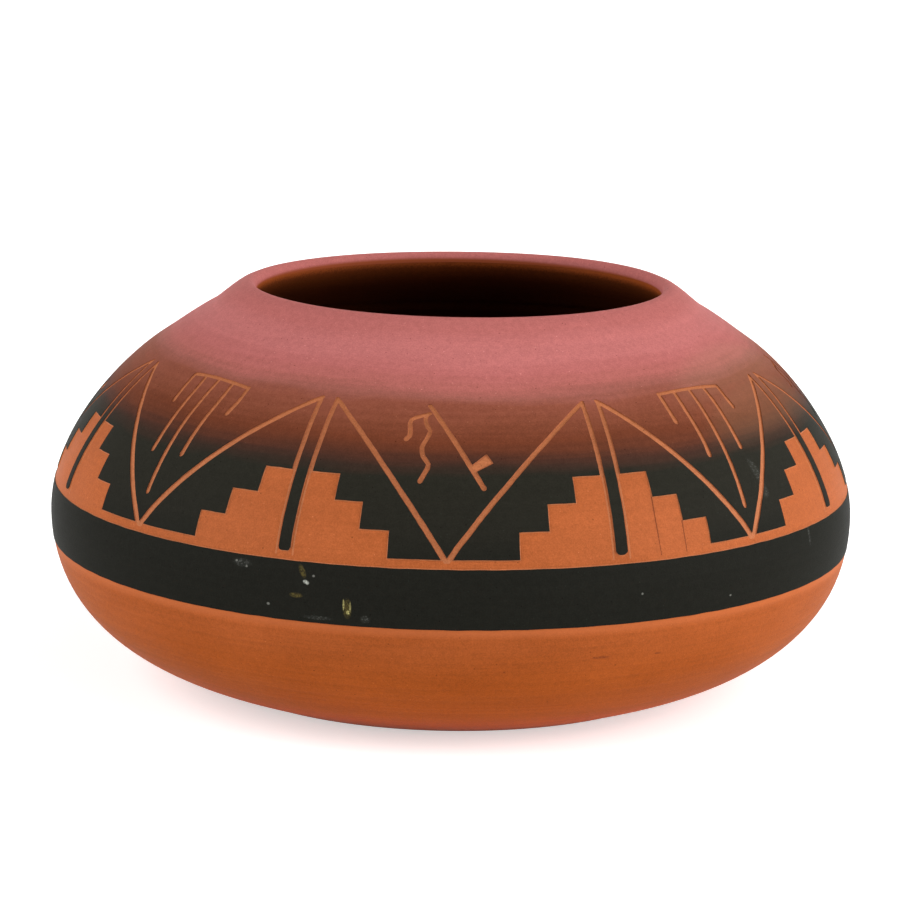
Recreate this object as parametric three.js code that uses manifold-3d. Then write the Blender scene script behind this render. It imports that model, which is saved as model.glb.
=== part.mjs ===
import * as THREE from "three";
import { mergeVertices } from "three/addons/utils/BufferGeometryUtils.js";
import Module from "manifold-3d";

// Bowl in fired clay, coated with slip and carved. Millimetres and degrees, +Z up,
// origin at the centre of the foot, with the front motif facing -Y.

// Outer wall: from the foot out to the belly, over the shoulder and up the short neck to the lip
const footRadius = 60.2;
const footFlare = 23.3;
const footHandle = 8;
const bellyRadius = 100;
const bellyHeight = 41.9;
const bellyHandleDown = 32.4;
const bellyHandleUp = 16.9;
const shoulderRadius = 74.4;
const shoulderHeight = 83.5;
const shoulderSlope = 34.1;
const shoulderHandleDown = 12.1;
const shoulderHandleUp = 4.6;
const neckRadius = 61.6;
const neckHeight = 92;
const neckSlopeDown = 27.9;
const neckSlopeUp = 35.5;
const neckHandleDown = 4.9;
const neckHandleUp = 3;
const mouthRadius = 50.4;
const lipHeight = 98.3;
const lipSlope = 10.4;
const lipHandle = 2.4;

// Lip edge, inner wall and floor
const lipEdge = 1.9;
const lipLand = 0.6;
const wallThickness = 5.5;
const floorThickness = 7;
const floorRadius = 46;
const innerLipHandle = 5;
const innerShoulderHandle = 15;
const innerBellyHandle = 24;
const floorHandle = 24;

// Slip coats and the hairline joint around them
const coatThickness = 0.35;
const coatGap = 0.05;

// Zones of the outer wall, the widths measured along the wall
const bandHeight = 35.2;
const bandWidth = 14.1;
const lineWidth = 2.2;
const roseMargin = 2.6;

// Pattern: tents over stepped pyramids, each with a slot up its middle, and a V between
// neighbouring tents. They were laid out by eye, so the angles of the Vs and of the slot to
// the left of each are uneven, and so is how far the two lines of a V bow up.
const valleyAngles = [-137.8, -93.7, -47.9, -0.4, 45.9, 90, 134.1, 178.2];
const peakAngles = [-159.8, -115.8, -71.7, -22.6, 23.7, 67.9, 112.1, 156.1];
const bows = [[0.4, 0.9], [0.2, 0.6], [0, 1.6], [0.3, 0.8], [0.7, 0.4], [0.5, 1], [0.2, 0.7], [0.4, 0.5]];
const tipRise = 38.4;
const tentStroke = 1.25;
const slotStroke = 1.1;
const slotWidth = 2.8;
const stepCount = 3;
const stepRise = 6.3;
const stepTread = 7.1;
const pyramidTop = 10.3;

// Pipe with two feathers, in (across, up) from the foot of its V
const pipeStroke = 1.15;
const pipeStem = [[-5.6, 38.2], [7.6, 16.5]];
const pipeBowl = [[5.3, 21.6], [8.8, 24]];
const pipeBowlWidth = 2.7;
const featherStroke = 1;
const shortFeather = [[-5.4, 35.8], [-9.4, 34], [-10.1, 31.4], [-10.7, 28.6]];
const longFeather = [[-6.2, 35], [-5.1, 31], [-6.9, 26], [-5.2, 22.2], [-7, 17.9]];

// Combs: the two ends of the bar, then the top and the foot of each tine
const combStroke = 1;
const leftComb = [
  [[-8.9, 39], [11.3, 38.5]],
  [[-9, 39], [-9.1, 30.3]],
  [[-4.6, 38.9], [-5.2, 16.9]],
  [[0.5, 38.8], [-0.3, 7.3]],
  [[5.9, 38.6], [5.2, 17.4]],
  [[11.3, 38.5], [11.1, 29.8]],
];
const rightComb = [
  [[-9.9, 38.8], [10.4, 38.1]],
  [[-9.9, 38.8], [-10.2, 29.8]],
  [[-5.1, 38.6], [-5.3, 19.8]],
  [[0.1, 38.4], [-0.2, 6.3]],
  [[5.3, 38.3], [6.1, 20.3]],
  [[10.4, 38.1], [11.2, 30.8]],
];

// Facets
const facetsRound = 60;
const facetLength = 9.4;
const lipFacet = 1.2;
const strokeStep = 12;
const innerSteps = 4;
const floorSteps = 6;

// Reach of a cutter under the wall's surface, and above it, where its flat cap cuts corners
const cutterDepth = 5;
const cutterRise = 20;

const wasm = await Module();
wasm.setup();

// Unit vector in the profile plane, x outwards and y up
function direction(degrees) {
  const angle = THREE.MathUtils.degToRad(degrees);
  return new THREE.Vector2(Math.cos(angle), Math.sin(angle));
}

// Cubic curve from one point to another, leaving and arriving at given directions
function blendCurve(start, startAngle, startHandle, end, endAngle, endHandle) {
  return new THREE.CubicBezierCurve(
    start,
    start.clone().addScaledVector(direction(startAngle), startHandle),
    end.clone().addScaledVector(direction(endAngle), -endHandle),
    end,
  );
}

// Outer wall as one path, from the edge of the foot to the bottom of the lip's inner land
function makeWallPath() {
  const foot = new THREE.Vector2(footRadius, 0);
  const belly = new THREE.Vector2(bellyRadius, bellyHeight);
  const shoulder = new THREE.Vector2(shoulderRadius, shoulderHeight);
  const neck = new THREE.Vector2(neckRadius, neckHeight);
  const edgeCentre = new THREE.Vector2(mouthRadius + lipEdge, lipHeight - lipEdge);
  const edgeStart = direction(90 - lipSlope);
  const lip = edgeCentre.clone().addScaledVector(edgeStart, lipEdge);
  const landTop = new THREE.Vector2(mouthRadius, edgeCentre.y);
  const landFoot = new THREE.Vector2(mouthRadius, edgeCentre.y - lipLand);
  const overShoulder = 180 - shoulderSlope;
  const upToNeck = 180 - neckSlopeDown;
  const upFromNeck = 180 - neckSlopeUp;
  const path = new THREE.CurvePath();
  path.add(blendCurve(foot, footFlare, footHandle, belly, 90, bellyHandleDown));
  path.add(blendCurve(belly, 90, bellyHandleUp, shoulder, overShoulder, shoulderHandleDown));
  path.add(
    blendCurve(shoulder, overShoulder, shoulderHandleUp, neck, upToNeck, neckHandleDown),
  );
  path.add(blendCurve(neck, upFromNeck, neckHandleUp, lip, 180 - lipSlope, lipHandle));
  path.add(
    new THREE.EllipseCurve(
      edgeCentre.x,
      edgeCentre.y,
      lipEdge,
      lipEdge,
      edgeStart.angle(),
      Math.PI,
    ),
  );
  path.add(new THREE.LineCurve(landTop, landFoot));
  return path;
}

const wallPath = makeWallPath();
const wallLength = wallPath.getLength();
const [, , neckRun, lipRun, landRun] = wallPath.getCurveLengths();

// Point in the profile plane at a run along the wall and a lift off it
function profilePoint(run, lift) {
  const share = THREE.MathUtils.clamp(run / wallLength, 0, 1);
  const point = wallPath.getPoint(share);
  const along = wallPath.getTangent(share);
  return new THREE.Vector2(point.x + along.y * lift, point.y - along.x * lift);
}

function wallRadius(run) {
  return profilePoint(run, 0).x;
}

// Run along the wall at which it reaches a height
function runAtHeight(height) {
  let low = 0;
  let high = lipRun;
  while (high - low > 1e-6) {
    const middle = (low + high) / 2;
    if (profilePoint(middle, 0).y < height) low = middle;
    else high = middle;
  }
  return low;
}

// Limits of the zones, as runs
const bandRun = runAtHeight(bandHeight);
const lineRun = bandRun + bandWidth;
const fieldRun = lineRun + lineWidth;
const tipRun = fieldRun + tipRise;
const roseRun = tipRun + roseMargin;

// Evenly spaced runs from one to another, no further apart than a facet's length
function runsBetween(start, end, facet) {
  const count = Math.max(1, Math.ceil((end - start) / facet));
  return Array.from({ length: count + 1 }, (_, i) => start + ((end - start) * i) / count);
}

const footRuns = runsBetween(0, bandRun, facetLength);
const bandRuns = runsBetween(bandRun, lineRun, facetLength);
const fieldRuns = runsBetween(fieldRun, roseRun, facetLength);
const roseRuns = [
  ...runsBetween(roseRun, neckRun, facetLength),
  ...runsBetween(neckRun, lipRun, facetLength / 2).slice(1),
  ...runsBetween(lipRun, landRun, lipFacet).slice(1),
  wallLength,
];

// Solid turned about Z from a profile that runs anticlockwise
function turned(profile) {
  const geometry = new THREE.LatheGeometry(profile, facetsRound);
  geometry.rotateX(Math.PI / 2);
  return geometry;
}

function solidFrom(geometry) {
  const bare = geometry.clone();
  bare.deleteAttribute("normal");
  bare.deleteAttribute("uv");
  const merged = mergeVertices(bare, 1e-4);
  return new wasm.Manifold(
    new wasm.Mesh({
      numProp: 3,
      vertProperties: merged.attributes.position.array,
      triVerts: new Uint32Array(merged.index.array),
    }),
  );
}

function geometryFrom(solid) {
  const mesh = solid.getMesh();
  const geometry = new THREE.BufferGeometry();
  geometry.setAttribute("position", new THREE.BufferAttribute(mesh.vertProperties, 3));
  geometry.setIndex(new THREE.BufferAttribute(mesh.triVerts, 1));
  geometry.computeVertexNormals();
  return geometry;
}

// Inner wall from the lip's land down to the floor
function innerWall(land) {
  const inset = new THREE.Vector2(shoulderRadius, shoulderHeight);
  inset.addScaledVector(direction(90 - shoulderSlope), -wallThickness);
  const belly = new THREE.Vector2(bellyRadius - wallThickness, bellyHeight);
  const floor = new THREE.Vector2(floorRadius, floorThickness);
  const outwards = -shoulderSlope;
  const neck = blendCurve(land, -90, innerLipHandle, inset, outwards, innerShoulderHandle);
  const upper = blendCurve(inset, outwards, shoulderHandleDown, belly, -90, bellyHandleUp);
  const lower = blendCurve(belly, -90, innerBellyHandle, floor, 180, floorHandle);
  return [
    ...neck.getPoints(innerSteps),
    ...upper.getPoints(innerSteps).slice(1),
    ...lower.getPoints(floorSteps).slice(1),
  ];
}

// Clay body: floor, wall and lip, set back under the coats and along the carved line
function clayBody() {
  const setBack = -(coatThickness + coatGap);
  const coated = [...bandRuns, ...fieldRuns, ...roseRuns.slice(1)];
  const bare = footRuns.map((run) => profilePoint(run, 0));
  const outer = [...bare, ...coated.map((run) => profilePoint(run, setBack))];
  const bottom = new THREE.Vector2(0, 0);
  const floorCentre = new THREE.Vector2(0, floorThickness);
  const inner = innerWall(outer[outer.length - 1]).slice(1);
  return turned([bottom, ...outer, ...inner, floorCentre]);
}

// Coat over a stretch of the wall
function coat(runs) {
  const outside = runs.map((run) => profilePoint(run, 0));
  const inside = runs.map((run) => profilePoint(run, -coatThickness)).reverse();
  return turned([...outside, ...inside, outside[0]]);
}

// Prism through the wall from a flat outline of (angle in radians, run) corners
function prism(outline) {
  const fine = [];
  outline.forEach(([angle, run], i) => {
    const [nextAngle, nextRun] = outline[(i + 1) % outline.length];
    const start = new THREE.Vector2(angle * bellyRadius, run);
    const end = new THREE.Vector2(nextAngle * bellyRadius, nextRun);
    const steps = Math.ceil(start.distanceTo(end) / strokeStep);
    for (let k = 0; k < steps; k += 1) fine.push(start.clone().lerp(end, k / steps));
  });
  const geometry = new THREE.ExtrudeGeometry(new THREE.Shape(fine), {
    depth: cutterDepth + cutterRise,
    bevelEnabled: false,
  });
  const corners = geometry.attributes.position;
  for (let i = 0; i < corners.count; i += 1) {
    const angle = corners.getX(i) / bellyRadius;
    const { x: out, y: height } = profilePoint(corners.getY(i), corners.getZ(i) - cutterDepth);
    corners.setXYZ(i, out * Math.sin(angle), -out * Math.cos(angle), height);
  }
  return solidFrom(geometry);
}

// Places (across, up) around a centre angle, drawn flat, become (angle, run) on the wall
function onWall(centre, places) {
  return places.map(([across, up]) => {
    const run = fieldRun + up;
    return [centre + across / wallRadius(run), run];
  });
}

// Carved stroke of one width along flat places, mitred at its corners
function stroke(centre, places, width) {
  const points = places.map(([x, y]) => new THREE.Vector2(x, y));
  const left = [];
  const right = [];
  points.forEach((point, i) => {
    const into = point.clone().sub(points[Math.max(i - 1, 0)]).normalize();
    const out = points[Math.min(i + 1, points.length - 1)].clone().sub(point).normalize();
    const along = into.clone().add(out).normalize();
    const reach = width / 2 / along.dot(i > 0 ? into : out);
    left.unshift([point.x - along.y * reach, point.y + along.x * reach]);
    right.push([point.x + along.y * reach, point.y - along.x * reach]);
  });
  return prism(onWall(centre, [...right, ...left]));
}

function feather(centre, places) {
  const curve = new THREE.SplineCurve(places.map(([x, y]) => new THREE.Vector2(x, y)));
  const points = curve.getPoints(2 * (places.length - 1)).map(({ x, y }) => [x, y]);
  return stroke(centre, points, featherStroke);
}

function pipeMotif(centre) {
  return [
    stroke(centre, pipeStem, pipeStroke),
    stroke(centre, pipeBowl, pipeBowlWidth),
    feather(centre, shortFeather),
    feather(centre, longFeather),
  ];
}

function combMotif(centre, comb) {
  return comb.map((ends) => stroke(centre, ends, combStroke));
}

// Half of a tent, to the left (side -1) or right (side 1) of its slot bar: the carved line
// that bows up from the V, the line beside the slot, and half of the stepped pyramid
function tentHalf(peak, valley, bow, side) {
  const slotLine = (side * (slotWidth + slotStroke)) / 2;
  const tip = (peak + slotLine / wallRadius(tipRun) - valley) * wallRadius(tipRun);
  const over = tentStroke / Math.hypot(tip, tipRise);
  const tentLine = [
    [-tip * over, -tipRise * over],
    [tip / 2, tipRise / 2 + bow],
    [tip * (1 + over / 2), tipRise * (1 + over / 2)],
  ];
  const slotFoot = -lineWidth / 2;
  const slot = [[slotLine, slotFoot], [slotLine, tipRise + slotStroke / 2]];
  const inner = peak + slotLine / wallRadius(fieldRun);
  const steps = [[inner, fieldRun + slotFoot]];
  for (let i = 0; i < stepCount; i += 1) {
    const reach = pyramidTop + (stepCount - 1 - i) * stepTread;
    const edge = peak + (side * reach) / wallRadius(fieldRun);
    steps.push([edge, fieldRun + (i > 0 ? i * stepRise : slotFoot)]);
    steps.push([edge, fieldRun + (i + 1) * stepRise]);
  }
  steps.push([inner, fieldRun + stepCount * stepRise]);
  if (side < 0) steps.reverse();
  return [
    stroke(valley, tentLine, tentStroke),
    stroke(peak, slot, slotStroke),
    prism(steps),
  ];
}

// Everything that is carved through the upper coat
function carving() {
  const cutters = [];
  const peaks = [...peakAngles, peakAngles[0] + 360].map(THREE.MathUtils.degToRad);
  valleyAngles.map(THREE.MathUtils.degToRad).forEach((valley, i) => {
    const comb = i % 4 > 0 ? leftComb : rightComb;
    const motif = i % 2 > 0 ? pipeMotif(valley) : combMotif(valley, comb);
    const left = tentHalf(peaks[i], valley, bows[i][0], 1);
    const right = tentHalf(peaks[i + 1], valley, bows[i][1], -1);
    cutters.push(...motif, ...left, ...right);
  });
  return cutters;
}

// Solids left of the upper coat: the field first, then the panels in their tents
function carvedField() {
  const runs = [...fieldRuns.slice(0, -1), roseRun - coatGap];
  const whole = carving().reduce((left, cutter) => left.subtract(cutter), solidFrom(coat(runs)));
  const pieces = whole.decompose().sort((a, b) => b.volume() - a.volume());
  const angleOf = (piece) => {
    const { min, max } = piece.boundingBox();
    return Math.atan2(min[0] + max[0], -(min[1] + max[1]));
  };
  const panels = pieces.slice(1).sort((a, b) => angleOf(a) - angleOf(b));
  return [pieces[0], ...panels];
}

const clay = new THREE.MeshStandardMaterial({ color: 0xb9693c, roughness: 0.85, metalness: 0 });
const rose = new THREE.MeshStandardMaterial({ color: 0xc37370, roughness: 0.8, metalness: 0 });
const black = new THREE.MeshStandardMaterial({ color: 0x282826, roughness: 0.8, metalness: 0 });

const bowl = new THREE.Group();

function addPiece(name, geometry, material) {
  const mesh = new THREE.Mesh(geometry, material);
  mesh.name = name;
  bowl.add(mesh);
}

addPiece("clay_body", clayBody(), clay);
addPiece("black_band", coat([bandRun + coatGap, ...bandRuns.slice(1)]), black);
addPiece("rose_neck", coat(roseRuns), rose);
carvedField().forEach((solid, i) => {
  const name = i > 0 ? "black_panel_" + String(i).padStart(2, "0") : "black_field";
  addPiece(name, geometryFrom(solid), black);
});

export default bowl;
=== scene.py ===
import itertools
import math

import bpy
import numpy as np
from mathutils import Matrix, Vector
from mathutils.geometry import delaunay_2d_cdt
from mathutils.kdtree import KDTree


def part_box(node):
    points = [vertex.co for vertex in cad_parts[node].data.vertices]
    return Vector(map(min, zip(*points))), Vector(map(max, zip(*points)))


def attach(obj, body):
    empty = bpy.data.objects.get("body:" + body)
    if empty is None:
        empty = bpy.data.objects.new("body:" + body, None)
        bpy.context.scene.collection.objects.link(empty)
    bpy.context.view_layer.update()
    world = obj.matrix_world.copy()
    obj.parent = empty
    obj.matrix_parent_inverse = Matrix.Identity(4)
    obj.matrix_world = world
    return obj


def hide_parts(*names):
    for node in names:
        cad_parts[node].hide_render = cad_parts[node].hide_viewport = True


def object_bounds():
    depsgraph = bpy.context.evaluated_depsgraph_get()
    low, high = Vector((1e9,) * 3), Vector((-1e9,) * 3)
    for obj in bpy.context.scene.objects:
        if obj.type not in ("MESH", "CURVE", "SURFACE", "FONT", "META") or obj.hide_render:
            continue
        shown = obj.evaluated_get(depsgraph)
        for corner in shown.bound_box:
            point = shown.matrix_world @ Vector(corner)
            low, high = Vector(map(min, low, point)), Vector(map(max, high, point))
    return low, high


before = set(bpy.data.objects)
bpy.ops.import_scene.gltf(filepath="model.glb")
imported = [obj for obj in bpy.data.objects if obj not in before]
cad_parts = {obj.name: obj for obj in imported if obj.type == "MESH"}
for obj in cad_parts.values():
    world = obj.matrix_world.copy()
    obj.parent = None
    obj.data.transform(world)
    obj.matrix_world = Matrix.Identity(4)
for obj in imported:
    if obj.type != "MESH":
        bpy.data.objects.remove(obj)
cad_low, cad_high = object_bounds()

# Bowl in fired clay under thin slip. Sizes are in millimetres and angles in degrees, and a
# mesh is turned to metres when it is made. Angle 0 faces the viewer, and a run is a length
# along the wall from the edge of the foot.
MM = 0.001

# Outer wall
foot_radius = 60.2
foot_flare = 23.3
foot_handle = 8
belly_radius = (cad_high.x - cad_low.x) / 2 / MM
belly_height = 41.9
belly_handle_down = 32.4
belly_handle_up = 16.9
shoulder_radius = 74.4
shoulder_height = 83.5
shoulder_slope = 34.1
shoulder_handle_down = 12.1
shoulder_handle_up = 4.6
neck_radius = 61.6
neck_height = 92
neck_slope_down = 27.9
neck_slope_up = 35.5
neck_handle_down = 4.9
neck_handle_up = 3
mouth_radius = 50.4
lip_height = 98.3
lip_slope = 10.4
lip_handle = 2.4

# Lip edge, inner wall and floor
lip_edge = 1.9
lip_land = 0.6
wall_thickness = 5.5
floor_thickness = 7
floor_radius = 46
floor_hole = 0.5
inner_lip_handle = 5
inner_shoulder_handle = 15
inner_belly_handle = 24
floor_handle = 24
ring_depth = 0.2
ring_spacing = 8

# Zones of the outer wall
band_height = 35.2
band_width = 14.1
line_width = 2.2
rose_margin = 2.6

# What the hand left: the neck stands a little to the right, the mouth leans back and is not
# quite level, and the wall is not quite round. Each swell of the wall has a strength, a number
# of turns round the bowl, a climb per millimetre of height and a start.
neck_shift = 1.15
lean_back = 0.8
lean_right = -0.05
saddle = (0.17, 0.18)
unevenness = 0.07
even_foot = 20
swells = ((1, 2, 0, 0.6), (0.6, 3, 1 / 17, 0), (0.5, 5, -1 / 9, 0), (0.35, 1, 1 / 4.3, 0))

# Slip and carving. A groove has sides, then a floor and a scraped middle that take up a share
# of its width.
slip = 0.12
slip_sunk = 0.03
slip_fade = 8
side_depth = 0.16
floor_depth = 0.26
side_inset = 0.2
floor_share = 0.7
scraped_share = 0.35
valley_angles = [-137.8, -93.7, -47.9, -0.4, 45.9, 90, 134.1, 178.2]
peak_angles = [-159.8, -115.8, -71.7, -22.65, 23.6, 67.9, 112.1, 156.1]
slot_leans = [0.3, -0.5, 0.2, 0.2, 0.45, 0.1, 0.4, -0.2]
tip_rises = [38, 38, 37.3, 38.4, 38.4, 37.3, 38, 38]
bows = [(0.4, 0.9), (0.2, 0.6), (0, 1.6), (0.3, 0.8), (0.7, 0.4), (0.5, 1), (0.2, 0.7), (0.4, 0.5)]
tent_strokes = ((1.6, 1.5), (1.35, 1.25))
valley_spread = 0.35
valley_sunk = 0.4
slot_stroke = 1.2
slot_sunk = 0.9
slot_short = 0.3
slot_width = 2.8
slot_spread = 0.1
slot_foot = 0.1
slot_corner = 0.8
slot_foot_powers = (3, 7)
slot_foot_room = 0.2
step_count = 3
step_rise = 6.3
step_tread = 7.15
pyramid_top = 10.3
scored_peak = 4
score_width = 0.25

# Waver of the hand: how far each kind of line sways, and the length of its waves
stroke_sway = 0.05
stroke_wave = 9
tent_sway = 0.06
comb_sway = 0.03
feather_sway = 0.02
width_sway = 0.08
width_wave = 4
pyramid_sway = 0.05
pyramid_wave = 5
band_sway = 0.07
line_sway = 0.05
ring_wave = 12
seam_calm = 8

# Pipe with two feathers, in (across, up) from the foot of its V
pipe_stroke = (1.15, 1.25)
pipe_stem = [(-5.3, 38), (7.9, 16.6)]
pipe_bowl = [(5, 21.2), (9, 24)]
pipe_bowl_width = (2, 3.1)
feather_stroke = (1, 1.2)
short_feather = [
    (-5.3, 35.8), (-6.4, 35.3), (-8.1, 34.7), (-9.5, 33.9), (-9.8, 32.6), (-9.6, 31),
    (-9.7, 29.5), (-10.5, 28.6),
]
long_feather = [
    (-5.9, 35.4), (-6.3, 34), (-5.9, 32.5), (-5, 30.9), (-5.6, 29.1), (-6.7, 26.8), (-6.5, 24.5),
    (-5, 22.2), (-5.7, 20.4), (-6.8, 18.1),
]

# Combs: the bar, then each tine from its top to its foot
comb_bar_stroke = (1.05, 1)
tine_stroke = (1.15, 1.35)
left_comb = [
    [(-8.9, 38.8), (-4, 39.2), (1, 39.2), (6, 38.8), (11.3, 38.1)],
    [(-9, 38.6), (-9.1, 34.2), (-9.1, 30.5)],
    [(-4.6, 39.1), (-4.3, 35.3), (-4.8, 28), (-5.3, 17.4)],
    [(0.6, 39.1), (0.5, 35), (-0.2, 24.5), (-0.3, 7.6)],
    [(5.8, 38.8), (6, 33.6), (5.4, 25.2), (5.2, 18)],
    [(11.3, 38.1), (11.6, 34), (11, 30.2)],
]
right_comb = [
    [(-9.9, 38.6), (-5, 38.8), (0.1, 38.8), (5.3, 38.5), (10.4, 37.8)],
    [(-9.9, 38.6), (-10.2, 34), (-10.2, 30.3)],
    [(-5, 38.7), (-5.3, 33.3), (-5.2, 24.7), (-5.4, 20.6)],
    [(0.1, 38.6), (0.1, 27.7), (0.1, 17.4), (-0.2, 7.1)],
    [(5.2, 38.3), (5.6, 33.3), (5.8, 27.8), (6.1, 21)],
    [(10.4, 37.8), (10.7, 34), (11.3, 31.3)],
]

# Marks on the slip: wear on the black, and a broad painted sheen at the right; smears on the clay
# under the band. Each has an angle, a height, a (width, height) and a lean, if it has one
gold_marks = [(-19.7, 47, (1.7, 4), -28), (-20.5, 41.4, (4, 1.5)), (-13.4, 39.3, (2.5, 5.6))]
bright_marks = [(-13.9, 40.1, (0.5, 3.4)), (-13, 39.7, (0.5, 3)), (-13.3, 38.4, (1, 1.3))]
grey_marks = [
    (-28.6, 47.3, (6, 2.4)), (50.8, 64.2, (3.2, 8.5), -20), (51, 59.8, (3.6, 3.4)),
    (59.4, 47.5, (1.2, 7), -4), (-17.5, 36.5, (9, 1.2)), (-11, 37, (3, 2.2)),
]
white_marks = [(-19.2, 44.7, (1.5, 1.1), 15), (-18.9, 44.5, (1, 1.1))]
small_marks = [
    (-18.1, 46.2, (0.8, 0.7)), (-24.5, 38.6, (1, 0.8)), (-29.5, 47.6, (0.8, 0.6)),
    (-27.9, 46.6, (0.7, 0.6)), (26.3, 42, (0.7, 0.7)), (41, 38.4, (0.8, 0.6)),
]
# The haze is a painted sheen: the slip made paler on the right side, where light glances off it
sheen_marks_painted = [(64, 76.5, (72, 32)), (64, 84, (72, 32))]
smear_marks = [(21.2, 27, (6, 0.8)), (30, 26.5, (2.6, 0.7))]

# Colours of the sprayed slips by height, as values on a screen from 0 to 255
slip_reach = (40, 100)
slip_colours = [
    (50, (28, 28, 24)),
    (56, (33, 32, 27)),
    (68.5, (35, 34, 28)),
    (70.2, (49, 37, 30)),
    (72, (65, 40, 31)),
    (74, (87, 47, 32)),
    (76, (98, 51, 33)),
    (78.8, (112, 61, 43)),
    (82.5, (124, 69, 53)),
    (84.3, (137, 81, 71)),
    (86.1, (155, 89, 82)),
    (88.5, (161, 92, 88)),
    (91, (169, 99, 96)),
    (93.5, (169, 99, 96)),
    (96, (161, 92, 88)),
]

# Inside the mouth: the heights between which the painted shade gives way to brown clay, and
# those between which the slip thins out, within a radius
inside_shade_top = (93.2, 95.8)
slip_thins = (96.5, 95.5)
slip_thins_radius = mouth_radius + 1.2

# Bare wall: tints that set in from one height to another, and the paler rim under the band. The
# tints are painted light: the foot is lighter and redder, as if lit from the floor, and the wall is
# less blue near the foot and bluer from 18 mm up, with the light's veil
painted_light_tints = (
    (18, 32, (0.98, 1.05, 1.7)),
    (18, 9, (1.1, 1, 0.5)),
    (10, 4, (1.35, 1.1, 0.9)),
)
rim_heights = (band_height - 3, band_height - 0.6)

# Light: each lamp has an angle round the bowl, an elevation and a strength. The floor's sizes
# are in metres.
lamps = {"lamp_left": (-75, 28, 3.1), "lamp_right": (60, 12, 2.8), "lamp_far_right": (88, 30, 2.4)}
lamp_spread = 60
room_light = 0.15
floor_shade = 0.88
floor_glow = 0.5
floor_reach = 6
floor_drop = 0.0001

# Camera: its elevation, its distance in belly radii, and how it turns from the bowl's middle
camera_rise = 12.49
camera_radii = 9.94
camera_pan = -0.023
camera_tilt = 0.318
camera_roll = 0.935
camera_lens = 158.44
sensor_width = 36

# Fineness of the meshes
columns = 320
curve_points = 241
lip_bend_points = 25
lip_land_points = 9
floor_points = 40
tent_points = 15
slot_foot_points = 13
foot_rings = 24
lip_bend_rings = 9
lip_land_rings = 3
inside_rings = 90
stroke_step = 1.2
stroke_end_angles = (50, 90, 130)
lattice_step = 1.9
lattice_room = 0.45
seam_room = 1e-3
meeting_room = 1e-5
tiny = 1e-6


def direction(degrees):
    angle = math.radians(degrees)
    return np.array([math.cos(angle), math.sin(angle)])


def blend_curve(start, start_angle, start_handle, end, end_angle, end_handle):
    """Points of a cubic curve that leaves one point and arrives at another in given directions."""
    share = np.linspace(0, 1, curve_points)[:, None]
    rest = 1 - share
    start, end = np.array(start), np.array(end)
    leave = start + direction(start_angle) * start_handle
    arrive = end - direction(end_angle) * end_handle
    handles = 3 * rest**2 * share * leave + 3 * rest * share**2 * arrive
    return rest**3 * start + handles + share**3 * end


class Path:
    """A profile of the wall, in (radius, height), that answers by its run."""

    def __init__(self, *stretches):
        points = np.concatenate(stretches)
        steps = np.linalg.norm(np.diff(points, axis=0), axis=1)
        self.points = points[np.r_[True, steps > tiny]]
        self.runs = np.r_[0, np.cumsum(steps[steps > tiny])]
        self.slopes = np.gradient(self.points, self.runs, axis=0)
        self.length = self.runs[-1]

    def radius(self, run):
        return np.interp(run, self.runs, self.points[:, 0])

    def height(self, run):
        return np.interp(run, self.runs, self.points[:, 1])

    def out(self, run):
        """Outward direction, as (radius, height)."""
        slope = [np.interp(run, self.runs, self.slopes[:, k]) for k in (1, 0)]
        size = np.hypot(*slope)
        return slope[0] / size, -slope[1] / size


def lip_points():
    """Points of the tight bend over the lip and of the straight land inside it."""
    centre = np.array([mouth_radius + lip_edge, lip_height - lip_edge])
    turn = np.radians(np.linspace(90 - lip_slope, 180, lip_bend_points))
    bend = centre + lip_edge * np.column_stack([np.cos(turn), np.sin(turn)])
    land = np.linspace(bend[-1], bend[-1] - [0, lip_land], lip_land_points)
    return bend, land


def outer_wall():
    foot = (foot_radius, 0)
    belly = (belly_radius, belly_height)
    shoulder = (shoulder_radius, shoulder_height)
    neck = (neck_radius, neck_height)
    over_shoulder = 180 - shoulder_slope
    to_neck = 180 - neck_slope_down
    from_neck = 180 - neck_slope_up
    bend, land = lip_points()
    return Path(
        blend_curve(foot, foot_flare, foot_handle, belly, 90, belly_handle_down),
        blend_curve(belly, 90, belly_handle_up, shoulder, over_shoulder, shoulder_handle_down),
        blend_curve(shoulder, over_shoulder, shoulder_handle_up, neck, to_neck, neck_handle_down),
        blend_curve(neck, from_neck, neck_handle_up, bend[0], 180 - lip_slope, lip_handle),
        bend,
        land,
    )


def inner_wall():
    """Profile from the land inside the lip to the floor's middle, with the rings of the hand."""
    land = lip_points()[1][-1] + [slip, 0]
    inset = np.array([shoulder_radius, shoulder_height])
    inset = inset - wall_thickness * direction(90 - shoulder_slope)
    belly = (belly_radius - wall_thickness, belly_height)
    floor = (floor_radius, floor_thickness)
    outwards = -shoulder_slope
    plain = Path(
        blend_curve(land, -90, inner_lip_handle, inset, outwards, inner_shoulder_handle),
        blend_curve(inset, outwards, shoulder_handle_down, belly, -90, belly_handle_up),
        blend_curve(belly, -90, inner_belly_handle, floor, 180, floor_handle),
        np.linspace(floor, (floor_hole, floor_thickness), floor_points),
    )
    rings = ring_depth * np.sin(plain.runs * 2 * math.pi / ring_spacing)
    rings = rings * np.clip(plain.runs / ring_spacing - 2, 0, 1)
    return Path(plain.points + np.column_stack(plain.out(plain.runs)) * rings[:, None])


wall = outer_wall()
inside = inner_wall()
upward = slice(0, np.argmax(wall.points[:, 1]))
band_run = np.interp(band_height, wall.points[upward, 1], wall.runs[upward])
line_run = band_run + band_width
field_run = line_run + line_width
tip_run = field_run + max(tip_rises)
rose_run = tip_run + rose_margin


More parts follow.
